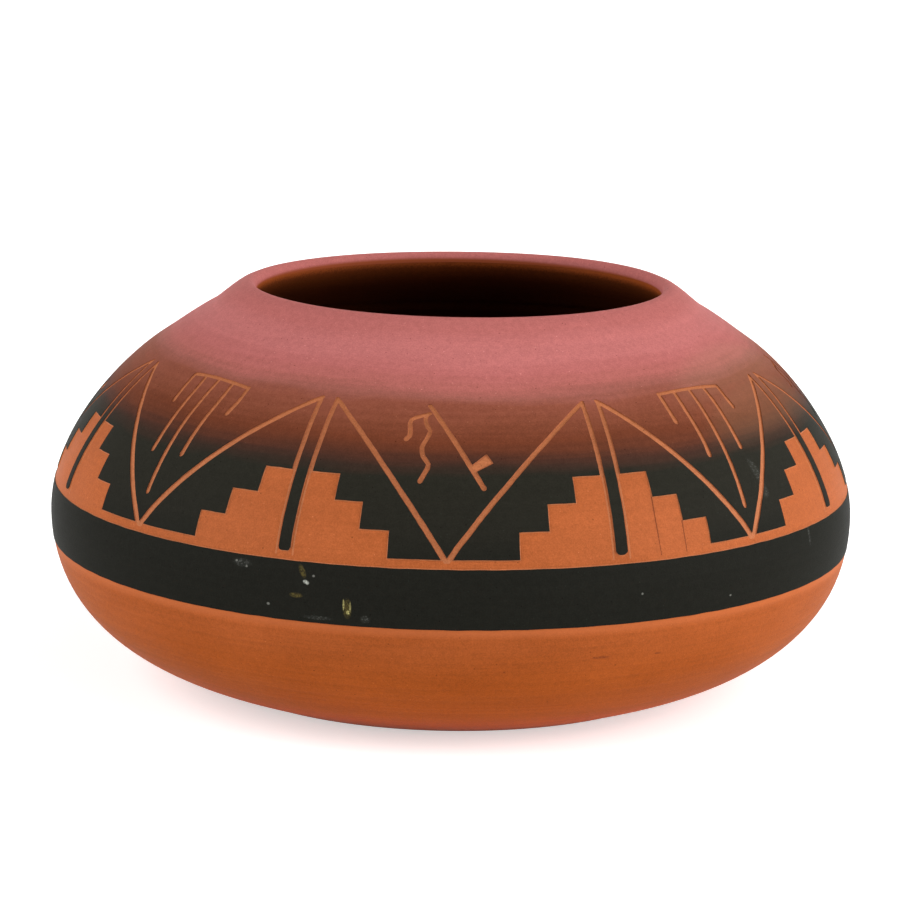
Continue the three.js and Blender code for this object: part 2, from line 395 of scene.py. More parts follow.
def place(path, angle, run, lift):
    """Points in millimetres at angles in radians, runs and lifts off a path."""
    out_radius, out_height = path.out(run)
    height = path.height(run)
    swell = sum(
        strength * np.sin(turns * angle + climb * height + start)
        for strength, turns, climb, start in swells
    )
    lift = lift + unevenness * swell * np.clip(height / even_foot, 0, 1)
    radius = path.radius(run) + out_radius * lift
    height = height + out_height * lift

    # The shift and the lean set in above the belly and are whole at the lip
    up = np.clip(2 * height / belly_radius - 1, 0, 1)
    up = up * up * (3 - 2 * up)
    x = radius * np.sin(angle)
    y = -radius * np.cos(angle)
    fall = x * math.radians(lean_right) + y * math.radians(lean_back)
    fall = fall + saddle[0] * np.cos(2 * angle) + saddle[1] * np.sin(2 * angle)
    return np.stack([x + neck_shift * up, y, height - fall * up], -1)


def facing(path, angle, run):
    """Unit normals of the path's surface at angles and runs."""
    small = 0.02
    turn = small / belly_radius
    around = place(path, angle + turn, run, 0) - place(path, angle - turn, run, 0)
    along = place(path, angle, run + small, 0) - place(path, angle, run - small, 0)
    normal = np.cross(around, along)
    return normal / np.linalg.norm(normal, axis=-1, keepdims=True)


# Waver of a hand that never runs quite straight

seeds = itertools.count(1)


def waver(length, wavelength):
    """A swing between about -1 and 1 at each length along a stroke, the same on each run."""
    random = np.random.default_rng(next(seeds))
    swing = 0
    for _ in range(4):
        wave = wavelength * random.uniform(0.5, 2)
        strength = random.uniform(0.3, 0.7)
        swing = swing + strength * np.sin(2 * math.pi * (length / wave + random.random()))
    return swing / 2


def spread_out(points, step):
    """Points along a line through the given ones, about a step apart."""
    points = np.array(points, float)
    lengths = np.r_[0, np.cumsum(np.linalg.norm(np.diff(points, axis=0), axis=1))]
    count = max(2, math.ceil(lengths[-1] / step))
    at = np.linspace(0, lengths[-1], count + 1)
    return np.column_stack([np.interp(at, lengths, points[:, k]) for k in (0, 1)]), at


# The flat map that the pattern is drawn on: angle times the belly's radius, and run

valleys = [math.radians(angle) for angle in valley_angles]
peaks = [math.radians(angle) for angle in (*peak_angles, peak_angles[0] + 360)]
map_left = peaks[0] * belly_radius
map_right = peaks[-1] * belly_radius
field_stretch = belly_radius / wall.radius(field_run)
pyramid_rise = step_count * step_rise
outlines = []

# Surfaces of the clay: the wall, the cuts' edges, floors, scraped middles and scored lines, and
# the inside. The scored lines and the inside are coloured dark as painted shade
bare_wall, cut_edge, plain_cut, pale_cut, shaded_score_cut, shaded_inside = range(6)


def on_map(centre, places):
    """Places in (across, up) about a centre angle, drawn flat, put on the map."""
    run = field_run + places[:, 1]
    return np.column_stack([(centre + places[:, 0] / wall.radius(run)) * belly_radius, run])


def carve(level, surface, outline):
    """Keeps an outline on the map, anticlockwise, with the level and surface reached inside it."""
    x, y = outline.T
    area = np.sum(x * np.roll(y, -1) - np.roll(x, -1) * y)
    outlines.append((level, surface, outline if area > 0 else outline[::-1]))


def stroke(centre, points, widths, sway=stroke_sway, blunt=False, middle=pale_cut):
    """A carved groove along flat places, from one width to another, with round or blunt ends."""
    line, at = spread_out(points, stroke_step)
    along = np.gradient(line, axis=0)
    along = along / np.linalg.norm(along, axis=1, keepdims=True)
    across = np.column_stack([-along[:, 1], along[:, 0]])
    line = line + across * (sway * waver(at, stroke_wave))[:, None]
    half = np.interp(at, [0, at[-1]], widths) / 2 * (1 + width_sway * waver(at, width_wave))
    turn = np.radians(stroke_end_angles)[:, None]
    zones = ((1, cut_edge, 1), (2, middle, floor_share), (3, pale_cut, scraped_share))
    for level, surface, share in zones:
        reach = (half * share)[:, None]
        outline = [line - across * reach, (line + across * reach)[::-1]]
        if blunt:
            inwards = (1 - share) * half[0]
            outline = [side[[0, -1]] for side in outline]
            outline[0] = outline[0] + inwards * np.array([along[0], -along[-1]])
            outline[1] = outline[1] + inwards * np.array([-along[-1], along[0]])
        else:
            start = line[0] + reach[0] * (np.cos(turn) * across[0] - np.sin(turn) * along[0])
            end = line[-1] + reach[-1] * (-np.cos(turn) * across[-1] + np.sin(turn) * along[-1])
            outline = [start, outline[0], end, outline[1]]
        carve(level, surface, on_map(centre, np.concatenate(outline)))


def smooth_line(points):
    """A curve through the points, close to their corners."""
    points = np.array(points, float)
    ends = np.concatenate([2 * points[:1] - points[1:2], points, 2 * points[-1:] - points[-2:-1]])
    made = [points[0]]
    for before, start, end, after in zip(ends, ends[1:], ends[2:], ends[3:]):
        for share in (0.2, 0.4, 0.6, 0.8, 1):
            leave, arrive = (end - before) / 3, (after - start) / 3
            blend = share * share * (3 - 2 * share)
            swing = share * (1 - share) * ((1 - share) * leave - share * arrive)
            made.append(start + (end - start) * blend + swing)
    return np.array(made)


def pipe_motif(centre):
    stroke(centre, pipe_stem, pipe_stroke)
    stroke(centre, pipe_bowl, pipe_bowl_width, sway=0, blunt=True)
    for feather in (short_feather, long_feather):
        stroke(centre, smooth_line(feather), feather_stroke, feather_sway)


def comb_motif(centre, bar, *tines):
    stroke(centre, smooth_line(bar), comb_bar_stroke, comb_sway)
    for tine in tines:
        stroke(centre, smooth_line(tine), tine_stroke, comb_sway)


def step_edge(step):
    """How far from the middle of its slot a step of a pyramid ends."""
    return pyramid_top + (step_count - 1 - step) * step_tread


def tent_line(valley, peak, lean, tip_rise, bow, side, widths):
    """The carved line of a tent, up from the foot of a V to the tip beside a slot."""
    slot_top = side * (slot_width + slot_stroke) / 2 + lean
    tip = (peak - valley) * wall.radius(field_run + tip_rise) + slot_top
    share = np.linspace(0, 1, tent_points)
    across = tip * share - side * valley_spread * (1 - share)
    bowed = tip_rise * share + 4 * share * (1 - share) * bow
    bowed[0] = -valley_sunk
    stroke(valley, np.column_stack([across, bowed]), widths, tent_sway)


def pyramid_half(peak, lean, tip_rise, side):
    """The line beside a slot, and the half of the stepped pyramid on that side of it."""
    slot_line = side * (slot_width + slot_stroke) / 2
    foot = (slot_line + side * slot_spread, -slot_sunk)
    bend = (slot_line + lean * pyramid_rise / tip_rise, pyramid_rise)
    widths = (slot_stroke, slot_stroke)
    stroke(peak, [foot, bend], widths, middle=plain_cut)
    stroke(peak, [bend, (slot_line + lean, tip_rise - slot_short)], widths)
    for level, surface, inset in ((1, pale_cut, 0), (2, plain_cut, side_inset)):
        corners = [(slot_line, -line_width / 2)]
        for step in range(step_count):
            edge = side * (step_edge(step) - inset) + lean * (step + 1) * step_rise / tip_rise
            corners.append((edge, step * step_rise - inset if step else -line_width / 2))
            corners.append((edge, (step + 1) * step_rise - inset))
        top = pyramid_rise - inset
        corners.append((slot_line + lean * top / tip_rise, top))
        spots = [(peak * belly_radius + out * field_stretch, field_run + up) for out, up in corners]
        ends = zip(spots, spots[1:] + spots[:1])
        outline = np.concatenate([spread_out(pair, stroke_step)[0][:-1] for pair in ends])
        at = np.arange(len(outline)) * stroke_step
        sway = np.column_stack([waver(at, pyramid_wave), waver(at, pyramid_wave)])
        carve(level, surface, outline + pyramid_sway * sway)


def scored_line(peak, step):
    """A thin knife line that runs on from the end of a step down to the bare line."""
    middle = peak * belly_radius + step_edge(step) * field_stretch
    left, right = middle - score_width / 2, middle + score_width / 2
    low, high = field_run - line_width / 2, field_run + step * step_rise
    # The knife line is coloured dark as painted shade in its narrow groove
    carve(3, shaded_score_cut, np.array([(left, low), (right, low), (right, high), (left, high)]))


for number, valley in enumerate(valleys):
    if number % 2:
        pipe_motif(valley)
    else:
        comb_motif(valley, *(right_comb if number % 4 == 0 else left_comb))
    for k, side in ((0, 1), (1, -1)):
        which = (number + k) % len(peak_angles)
        tent = (peaks[number + k], slot_leans[which], tip_rises[which])
        tent_line(valley, *tent, bows[number][k], side, tent_strokes[number % 2])
        pyramid_half(*tent, side)
for step in range(1, step_count):
    scored_line(peaks[scored_peak], step)


# Lines right round the bowl: the band's lower edge, and the bare clay line above the band

def ring_line(run, sway):
    """A line right round the map that is level where its two ends meet."""
    along = np.linspace(map_left, map_right, columns * 2 + 1)
    fade = np.clip(np.minimum(along - map_left, map_right - along) / seam_calm, 0, 1)
    return np.column_stack([along, run + sway * fade * waver(along, ring_wave)])


def with_slot_feet(line):
    """The line with a dip under the bar in each slot, whose foot is squarish or round."""
    half = slot_width / 2 + slot_spread
    parts = []
    for number, peak in enumerate(peaks):
        off = np.linspace(-half, half, slot_foot_points)
        corner = slot_corner * (np.abs(off) / half) ** slot_foot_powers[number % 2]
        foot = np.column_stack([peak * belly_radius + off, field_run - slot_foot + corner])
        parts.append(foot[(foot[:, 0] > map_left - tiny) & (foot[:, 0] < map_right + tiny)])
        line = line[np.abs(line[:, 0] - peak * belly_radius) > half + slot_foot_room]
    joined = np.concatenate([line, *parts])
    return joined[np.argsort(joined[:, 0])]


map_low = band_run - 2 * lattice_step
band_edge = ring_line(band_run, band_sway)
line_foot = ring_line(line_run, line_sway)
line_top = with_slot_feet(ring_line(field_run, line_sway))
line_foot_inner = line_foot + [0, side_inset]
line_top_inner = line_top - [0, side_inset]
rings = [band_edge, line_foot, line_foot_inner, line_top_inner, line_top]
across = np.linspace(map_left, map_right, columns + 1)
ring_angles = across[:-1] / belly_radius


def lattice():
    """The rows of a lattice over the map, and its inner points that keep off every line."""
    drawn = [spread_out(line, lattice_room)[0] for line in rings]
    for *_, outline in outlines:
        drawn.append(spread_out(np.concatenate([outline, outline[:1]]), lattice_room)[0])
    drawn = np.concatenate(drawn)
    tree = KDTree(len(drawn))
    for number, (x, y) in enumerate(drawn):
        tree.insert((x, y, 0), number)
    tree.balance()
    rows = np.linspace(map_low, rose_run, math.ceil((rose_run - map_low) / lattice_step) + 1)
    grid = itertools.product(across[1:-1], rows[1:-1])
    return rows, [(x, y) for x, y in grid if tree.find((x, y, 0))[2] > lattice_room]


def triangulate():
    """The map cut along every line: points, triangles, and their levels, surfaces and coats."""
    rows, points = lattice()
    edges = []
    faces = []

    def add_line(line):
        first = len(points)
        points.extend(map(tuple, line))
        edges.extend((first + i, first + i + 1) for i in range(len(line) - 1))

    ends = np.array([line[0, 1] for line in rings])
    free = [row for row in rows if np.min(np.abs(row - ends)) > lattice_room]
    sides = np.array(sorted([*free, *ends]))
    for x in (map_left, map_right):
        add_line(np.column_stack([np.full(len(sides), x), sides]))
    for y in (map_low, rose_run):
        add_line(np.column_stack([across, np.full(len(across), y)]))
    for line in rings:
        add_line(line)
    for *_, outline in outlines:
        first = len(points)
        points.extend(map(tuple, outline))
        faces.append(list(range(first, len(points))))

    made = delaunay_2d_cdt([Vector(p) for p in points], edges, faces, 0, meeting_room, True)
    corners = np.array([points[origin[0]] if origin else p for p, origin in zip(made[0], made[3])])
    triangles = np.array(made[2])
    uncut = (0, bare_wall)
    tops = [max((outlines[k][:2] for k in owners), default=uncut) for owners in made[5]]
    levels, surfaces = np.array(tops).T
    centres = corners[triangles].mean(axis=1)

    def over(line):
        return centres[:, 1] > np.interp(centres[:, 0], line[:, 0], line[:, 1])

    bounds = ((1, pale_cut, line_foot, line_top), (2, plain_cut, line_foot_inner, line_top_inner))
    for level, surface, foot, top in bounds:
        deeper = over(foot) & ~over(top) & (levels < level)
        levels[deeper] = level
        surfaces[deeper] = surface
    return corners, close_seam(corners, triangles), levels, surfaces, over(band_edge)


def close_seam(corners, triangles):
    """The triangles with the points on the map's right side swapped for those on its left."""
    on_left = np.flatnonzero(corners[:, 0] < map_left + seam_room)
    left = {round(corners[i, 1], 3): i for i in on_left}
    same = np.arange(len(corners))
    for i in np.flatnonzero(corners[:, 0] > map_right - seam_room):
        same[i] = left[round(corners[i, 1], 3)]
    return same[triangles]


def carve_depths(count, triangles, levels):
    """How deep each corner of the map is carved, from the levels of the triangles round it."""
    lowest = np.full(count, 3)
    highest = np.zeros(count, int)
    for k in range(3):
        np.minimum.at(lowest, triangles[:, k], levels)
        np.maximum.at(highest, triangles[:, k], levels)

    # A corner between two levels ends the shallower one, and any other lies halfway down its own
    edge_depth = np.array([0, side_depth, floor_depth, floor_depth])
    inner_depth = np.array([0, side_depth / 2, (side_depth + floor_depth) / 2, floor_depth])
    return np.where(lowest < highest, edge_depth[lowest], inner_depth[lowest])


def groups_of(triangles, chosen):
    """The chosen triangles in groups that hang together, the largest first."""
    beside = {}
    for number in chosen:
        a, b, c = sorted(triangles[number])
        for edge in ((a, b), (b, c), (a, c)):
            beside.setdefault(edge, []).append(number)
    neighbours = {number: [] for number in chosen}
    for pair in beside.values():
        if len(pair) == 2:
            neighbours[pair[0]].append(pair[1])
            neighbours[pair[1]].append(pair[0])
    groups = []
    left = set(chosen)
    while left:
        group = [left.pop()]
        for number in group:
            near = [other for other in neighbours[number] if other in left]
            left.difference_update(near)
            group.extend(near)
        groups.append(group)
    return sorted(groups, key=len, reverse=True)


# Meshes of the pieces

def strip(low, high):
    """The four-sided faces between two rings, or what belongs to their corners."""
    return np.stack([low, np.roll(low, -1, axis=0), np.roll(high, -1, axis=0), high], 1)


class Skin:
    """Corners and faces of one mesh, with each face's surface and the normals at its corners."""

    def __init__(self):
        self.corners = np.empty((0, 3))
        self.faces = []
        self.normals = []
        self.surfaces = []

    def add(self, corners):
        """Adds corners in millimetres and returns their numbers."""
        first = len(self.corners)
        self.corners = np.concatenate([self.corners, corners])
        return np.arange(first, len(self.corners))

    def cover(self, faces, normals, surface=0):
        self.faces += faces.tolist()
        self.normals.append(normals.reshape(-1, 3))
        self.surfaces += np.broadcast_to(surface, len(faces)).tolist()

    def cover_flat(self, faces, surface=0):
        """Adds faces that are each shaded flat."""
        a, b, c = (self.corners[faces[:, k]] for k in range(3))
        normal = np.cross(b - a, c - a)
        normal = normal / np.maximum(np.linalg.norm(normal, axis=1, keepdims=True), 1e-12)
        self.cover(faces, np.repeat(normal[:, None], faces.shape[1], axis=1), surface)

    def sweep(self, path, runs, lift, first=None, last=None, side=1, surface=0):
        """Covers a stretch of a path ring by ring, and returns the rings at its start and end."""
        lifts = np.broadcast_to(lift, len(runs))
        low = first
        low_normals = side * facing(path, ring_angles, runs[0])
        if first is None:
            low = self.add(place(path, ring_angles, runs[0], lifts[0]))
        start = low
        for run, lift in zip(runs[1:], lifts[1:]):
            if last is not None and run == runs[-1]:
                high = last
            else:
                high = self.add(place(path, ring_angles, run, lift))
            high_normals = side * facing(path, ring_angles, run)
            self.cover(strip(low, high), strip(low_normals, high_normals), surface)
            low, low_normals = high, high_normals
        return start, low

    def close(self, ring, centre, normal, surface=0):
        """Covers the hole inside a ring of corners with a fan."""
        middle = self.add(np.array([centre]))[0]
        fan = np.stack([ring, np.roll(ring, -1), np.full(len(ring), middle)], 1)
        self.cover(fan, np.tile(normal, (len(ring), 3, 1)).astype(float), surface)

    def piece(self, name, node, slot_name, *surfaces):
        """The mesh in metres, as a piece of the bowl that stands for a node."""
        mesh = bpy.data.meshes.new(name)
        mesh.from_pydata((self.corners * MM).tolist(), [], self.faces)
        mesh.polygons.foreach_set("use_smooth", [True] * len(mesh.polygons))
        mesh.normals_split_custom_set(np.concatenate(self.normals).tolist())
        for surface in surfaces:
            mesh.materials.append(surface)
        mesh.polygons.foreach_set("material_index", self.surfaces)
        made = bpy.data.objects.new(name, mesh)
        bpy.context.scene.collection.objects.link(made)
        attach(made, "root")
        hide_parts(node)
        return made


# Materials

def screen(red, green, blue):
    """A colour for a shader from its values on a screen, 0 to 255."""
    shares = (value / 255 for value in (red, green, blue))
    return (*(((s + 0.055) / 1.055) ** 2.4 if s > 0.04045 else s / 12.92 for s in shares), 1)


class Surface:
    """A material with its nodes, which go by the places of the surface in metres."""

    def __init__(self, name, roughness, shine):
        self.material = bpy.data.materials.new(name)
        self.material.use_nodes = True
        self.nodes = self.material.node_tree.nodes
        self.shader = self.nodes["Principled BSDF"]
        self.shader.inputs["Roughness"].default_value = roughness
        self.shader.inputs["Specular IOR Level"].default_value = shine
        self.at = self.add("ShaderNodeTexCoord").outputs["Object"]
        self.height = self.add("ShaderNodeSeparateXYZ", {0: self.at}).outputs["Z"]

    def put(self, socket, value):
        if isinstance(value, bpy.types.NodeSocket):
            self.material.node_tree.links.new(value, socket)
        else:
            socket.default_value = value

    def add(self, kind, sockets=None, **settings):
        made = self.nodes.new(kind)
        for setting, value in settings.items():
            setattr(made, setting, value)
        for socket, value in (sockets or {}).items():
            self.put(made.inputs[socket], value)
        return made

    def maths(self, operation, first, second=0.5, third=0.5):
        made = self.add("ShaderNodeMath", {0: first, 1: second, 2: third}, operation=operation)
        return made.outputs[0]

    def span(self, value, low, high, made_low=0.0, made_high=1.0):
        """The value's way from low to high, eased at both ends, between two made values."""
        sockets = {0: value, 1: low, 2: high, 3: made_low, 4: made_high}
        return self.add("ShaderNodeMapRange", sockets, interpolation_type="SMOOTHSTEP").outputs[0]

    def noise(self, size, detail=3, flatten=1.0, shift=0.0):
        """Noise with lumps of a size in millimetres, which flatten makes into level streaks."""
        scale = 1 / (size * MM)
        stretch = (scale / flatten, scale / flatten, scale)
        sockets = {"Vector": self.at, "Location": [shift] * 3, "Scale": stretch}
        moved = self.add("ShaderNodeMapping", sockets).outputs[0]
        sockets = {"Vector": moved, "Scale": 1.0, "Detail": detail}
        return self.add("ShaderNodeTexNoise", sockets).outputs[0]

    def specks(self, size, share, shift=0.0):
        """Small round specks of a size in millimetres, in a share of the cells they may lie in."""
        size_in_cell = 0.35
        largest_reach = 0.22
        moved = self.add("ShaderNodeMapping", {"Vector": self.at, "Location": [shift] * 3})
        sockets = {"Vector": moved.outputs[0], "Scale": size_in_cell / (size * MM)}
        cells = self.add("ShaderNodeTexVoronoi", sockets)
        pick = self.add("ShaderNodeSeparateColor", {0: cells.outputs["Color"]})
        reach = self.span(pick.outputs[0], 1 - share, 1.0, 0.0, largest_reach)
        return self.maths("LESS_THAN", cells.outputs["Distance"], reach)

    def blot(self, degrees, height, size, lean=0.0):
        """A soft mark on the outer wall at an angle and height, with a (width, height)."""
        half_depth = 8
        turn = math.radians(degrees)
        radius = np.interp(height, wall.points[upward, 1], wall.points[upward, 0])
        centre = Vector((radius * math.sin(turn), -radius * math.cos(turn), height)) * MM
        sockets = {
            "Vector": self.at,
            "Location": centre,
            "Rotation": (0, math.radians(lean), turn),
            "Scale": Vector((size[0] / 2, half_depth, size[1] / 2)) * MM,
        }
        nearby = self.add("ShaderNodeMapping", sockets, vector_type="TEXTURE").outputs[0]
        length = self.add("ShaderNodeVectorMath", {0: nearby}, operation="LENGTH")
        return self.span(length.outputs["Value"], 1.0, 0.45)

    def mix(self, share, first, second, blend="MIX"):
        sockets = {0: share, 6: first, 7: second}
        made = self.add("ShaderNodeMix", sockets, data_type="RGBA", blend_type=blend)
        return made.outputs[2]

    def tint(self, share, colour, change):
        """A colour with its red, green and blue changed by factors, where a share says so."""
        changed = self.mix(1.0, colour, (*change, 1), "MULTIPLY")
        return self.mix(share, colour, changed)

    def shade(self, colour, level, amount):
        """A colour made darker and lighter by a level that swings about 0.5."""
        swing = self.span(level, 0.3, 0.7, 1 - amount, 1 + amount)
        return self.mix(1.0, colour, swing, "MULTIPLY")

    def wear_and_sheen(self, colour, mark_colour, places, strength):
        """A colour with marks of wear and painted sheen, as strong as a number or a pattern says.
        """
        marks, *others = (self.blot(*mark) for mark in places)
        for other in others:
            marks = self.maths("MAXIMUM", marks, other)
        return self.mix(self.maths("MULTIPLY", marks, strength), colour, screen(*mark_colour))

    def ramp(self, value, low, high, stops):
        """A colour that goes through the stops, each a value between low and high and a colour."""
        share = self.add("ShaderNodeMapRange", {0: value, 1: low, 2: high}).outputs[0]
        made = self.add("ShaderNodeValToRGB", {0: share})
        bar = made.color_ramp.elements
        bar.remove(bar[1])
        for number, (at, colour) in enumerate(stops):
            share = (at - low) / (high - low)
            element = bar.new(share) if number else bar[0]
            element.position = share
            element.color = screen(*colour)
        return made.outputs[0]

    def finish(self, colour, relief, depth):
        """Joins up the colour, and the relief as a bump with a depth in millimetres."""
        self.put(self.shader.inputs["Base Color"], colour)
        sockets = {"Height": relief, "Distance": depth * MM, "Strength": 1.0}
        bump = self.add("ShaderNodeBump", sockets)
        self.put(self.shader.inputs["Normal"], bump.outputs[0])
        return self.material


# Bare fired clay: the smoothed wall, the cuts and the inside, which is painted dark as shade

def clay_surface(name, low, high, kind=plain_cut):
    """Clay between a low and a high colour, with its grain, its throwing marks and its specks."""
    smoothed = kind == bare_wall
    clay = Surface(name, roughness=0.55, shine=0.04 if smoothed else 0.05)
    grain = clay.noise(0.35, detail=4)
    streaks = clay.noise(0.9, detail=2, flatten=60)
    clouds = clay.noise(14, detail=3, flatten=2, shift=3)
    tone = clay.ramp(clouds, 0.25, 0.75, [(0.3, low), (0.7, high)])
    tone = clay.shade(tone, streaks, 0.05 if smoothed else 0.03)
    tone = clay.shade(tone, grain, 0.12)
    tone = clay.shade(tone, clay.noise(1.2, detail=2, shift=5), 0.05)
    tone = clay.tint(clay.specks(0.3, 0.06), tone, (0.5, 0.5, 0.5))
    # The inside is painted dark as shade, which gives way to brown clay near the lip
    if kind == shaded_inside:
        drift = clay.maths("ADD", clay.height, clay.span(grain, 0.3, 0.7, -0.3 * MM, 0.3 * MM))
        bare = clay.span(drift, inside_shade_top[0] * MM, inside_shade_top[1] * MM)
        tone = clay.mix(bare, tone, screen(132, 62, 24))
    else:
        tone = clay.tint(clay.specks(0.25, 0.08, shift=0.7), tone, (1.3, 1.5, 1.9))
    if smoothed:
        # Painted light by height: a lighter foot, as if lit from the floor, and more blue higher up
        for start, end, change in painted_light_tints:
            tone = clay.tint(clay.span(clay.height, start * MM, end * MM), tone, change)
        rim = clay.span(clay.height, rim_heights[0] * MM, rim_heights[1] * MM, 0, 0.6)
        tone = clay.mix(rim, tone, screen(180, 98, 56))
        tone = clay.wear_and_sheen(tone, (96, 46, 26), smear_marks, clay.span(grain, 0.3, 0.6, 0, 0.7))
    return clay.finish(tone, clay.maths("ADD", grain, streaks), 0.05)


clays = (
    clay_surface("fired_clay", (149, 72, 22), (161, 80, 28), bare_wall),
    clay_surface("cut_clay_edge", (146, 84, 52), (154, 89, 56)),
    clay_surface("cut_clay", (155, 81, 41), (163, 86, 45)),
    clay_surface("scraped_clay", (161, 96, 60), (169, 102, 66)),
    # Painted shade: the dark colour of the scored lines
    clay_surface("scored_clay_shaded", (112, 54, 28), (120, 60, 32)),
    # Painted shade: the dark colour of the inside
    clay_surface("inside_clay_shaded", (70, 30, 9), (80, 35, 11), shaded_inside),
)


# Sprayed slip, from black up through brown to rose

def slip_surface(name):
    """One material of the sprayed slips: both go by the same heights, so that they meet unseen."""
    coat = Surface(name, roughness=0.5, shine=0.01)
    grain = coat.noise(0.35, detail=4)
    streaks = coat.noise(0.9, detail=3, flatten=60)
    clouds = coat.noise(9, detail=2, flatten=3)
    drift = coat.maths("ADD", coat.span(streaks, 0.3, 0.7, -0.3 * MM, 0.3 * MM),
                       coat.span(clouds, 0.3, 0.7, -0.6 * MM, 0.6 * MM))
    level = coat.maths("ADD", coat.height, drift)
    stops = [(height * MM, colour) for height, colour in slip_colours]
    tone = coat.ramp(level, slip_reach[0] * MM, slip_reach[1] * MM, stops)
    tone = coat.shade(tone, streaks, 0.025)
    tone = coat.shade(tone, grain, 0.1)
    tone = coat.shade(tone, coat.noise(1.5, detail=2, shift=5), 0.05)
    tone = coat.tint(coat.specks(0.25, 0.07), tone, (0.5, 0.42, 0.42))
    tone = coat.tint(coat.specks(0.25, 0.09, shift=0.7), tone, (1.35, 1.6, 1.6))

    # Inside the mouth the slip thins out over the clay
    parts = coat.add("ShaderNodeSeparateXYZ", {0: coat.at})
    off_centre = coat.maths("SUBTRACT", parts.outputs["X"], neck_shift * MM)
    across = coat.maths("POWER", off_centre, 2.0)
    across = coat.maths("MULTIPLY_ADD", parts.outputs["Y"], parts.outputs["Y"], across)
    within = coat.maths("LESS_THAN", across, (slip_thins_radius * MM) ** 2)
    thin = coat.span(coat.height, slip_thins[0] * MM, slip_thins[1] * MM)
    tone = coat.mix(coat.maths("MULTIPLY", within, thin), tone, screen(132, 64, 38))

    # Wear, broken up by a fine noise, and a painted sheen at the right
    fine = coat.noise(0.4, detail=4, shift=2)
    tone = coat.wear_and_sheen(tone, (100, 88, 46), gold_marks, coat.span(fine, 0.35, 0.65, 0.1, 0.55))
    tone = coat.wear_and_sheen(tone, (196, 186, 120), bright_marks, coat.span(fine, 0.35, 0.6, 0.15, 0.75))
    tone = coat.wear_and_sheen(tone, (124, 126, 120), grey_marks, coat.span(fine, 0.5, 0.7, 0.04, 0.28))
    tone = coat.wear_and_sheen(tone, (176, 178, 168), white_marks, coat.span(fine, 0.35, 0.6, 0.3, 0.85))
    # Painted sheen: a broad paler patch on the slip at the right
    tone = coat.wear_and_sheen(tone, (150, 134, 106), sheen_marks_painted, 0.09)
    tone = coat.wear_and_sheen(tone, (150, 150, 142), small_marks, 0.4)
    return coat.finish(tone, coat.maths("ADD", grain, streaks), 0.04)


rose_surface = slip_surface("rose_slip")
black_surface = slip_surface("black_slip")


# Coats and body

def slip_coat(chosen):
    """A closed coat over some triangles of the map, with upright walls round its edge."""
    own, flat = np.unique(triangles[chosen], return_inverse=True)
    faces = flat.reshape(-1, 3)
    angle, run = map_points[own, 0] / belly_radius, map_points[own, 1]
    out = facing(wall, angle, run)
    coat = Skin()
    top = coat.add(place(wall, angle, run, 0))
    under = coat.add(place(wall, angle, run, -slip - slip_sunk))
    coat.cover(top[faces], out[faces])
    coat.cover(under[faces[:, ::-1]], -out[faces[:, ::-1]])
    edges = np.concatenate([faces[:, (0, 1)], faces[:, (1, 2)], faces[:, (2, 0)]])
    rim = edges[~np.isin(edges @ (len(own), 1), edges @ (1, len(own)))]
    coat.cover_flat(np.column_stack([top[rim[:, ::-1]], under[rim]]))
    return coat


def neck_coat():
    coat = Skin()
    start, end = coat.sweep(wall, neck_runs, 0)
    under_end, under_start = coat.sweep(wall, neck_runs[::-1], -slip - slip_sunk, side=-1)
    coat.cover_flat(strip(end, under_end))
    coat.cover_flat(strip(under_start, start))
    return coat


def clay_body():
    """Foot, carved wall, lip, inside and floor in one."""
    own, flat = np.unique(triangles, return_inverse=True)
    faces = flat.reshape(-1, 3)
    angle, run = map_points[own, 0] / belly_radius, map_points[own, 1]
    depths = carve_depths(len(map_points), triangles, levels)[own]
    body = Skin()
    body.add(place(wall, angle, run, -slip - depths))

    # The steep sides of the cuts are shaded flat, the rest smooth
    steep = np.ptp(depths[faces], axis=1) > (floor_depth - side_depth) * 1.2
    body.cover(faces[~steep], facing(wall, angle, run)[faces[~steep]], surfaces[~steep])
    body.cover_flat(faces[steep], surfaces[steep])
    low_ring, high_ring = (np.flatnonzero(run == edge) for edge in (map_low, rose_run))
    low_ring, high_ring = (ring[np.argsort(angle[ring])] for ring in (low_ring, high_ring))
    foot_runs = np.linspace(0, map_low, foot_rings)
    foot_lift = -slip * np.clip(foot_runs / slip_fade, 0, 1)
    foot_ring, _ = body.sweep(wall, foot_runs, foot_lift, last=low_ring)
    _, land_ring = body.sweep(wall, neck_runs, -slip, first=high_ring)
    inner_runs = np.linspace(0, inside.length, inside_rings)
    _, floor_ring = body.sweep(inside, inner_runs, 0, first=land_ring, surface=shaded_inside)
    body.close(floor_ring, (0, 0, inside.points[-1, 1]), (0, 0, 1), surface=shaded_inside)
    body.close(foot_ring[::-1], (0, 0, 0), (0, 0, -1))
    return body


def box_middle(patch):
    """The middle of the box round some triangles of the map, as they lie on the wall."""
    where = map_points[np.unique(triangles[patch])]
    spots = place(wall, where[:, 0] / belly_radius, where[:, 1], 0)
    return (spots.min(axis=0) + spots.max(axis=0)) / 2


map_points, triangles, levels, surfaces, coated = triangulate()
land_run = wall.length - lip_land
bend_run = land_run - lip_edge * math.radians(90 + lip_slope)
neck_runs = np.concatenate([
    np.linspace(rose_run, bend_run, math.ceil((bend_run - rose_run) / lattice_step) + 1),
    np.linspace(bend_run, land_run, lip_bend_rings)[1:],
    np.linspace(land_run, wall.length, lip_land_rings)[1:],
])
clay_body().piece("clay_body_fired", "clay_body", "clay", *clays)
neck_coat().piece("rose_neck_slip", "rose_neck", "rose_slip", rose_surface)
field, *patches = groups_of(triangles, np.flatnonzero((levels == 0) & coated))
slip_coat(field).piece("black_field_slip", "black_field", "black_slip", black_surface)

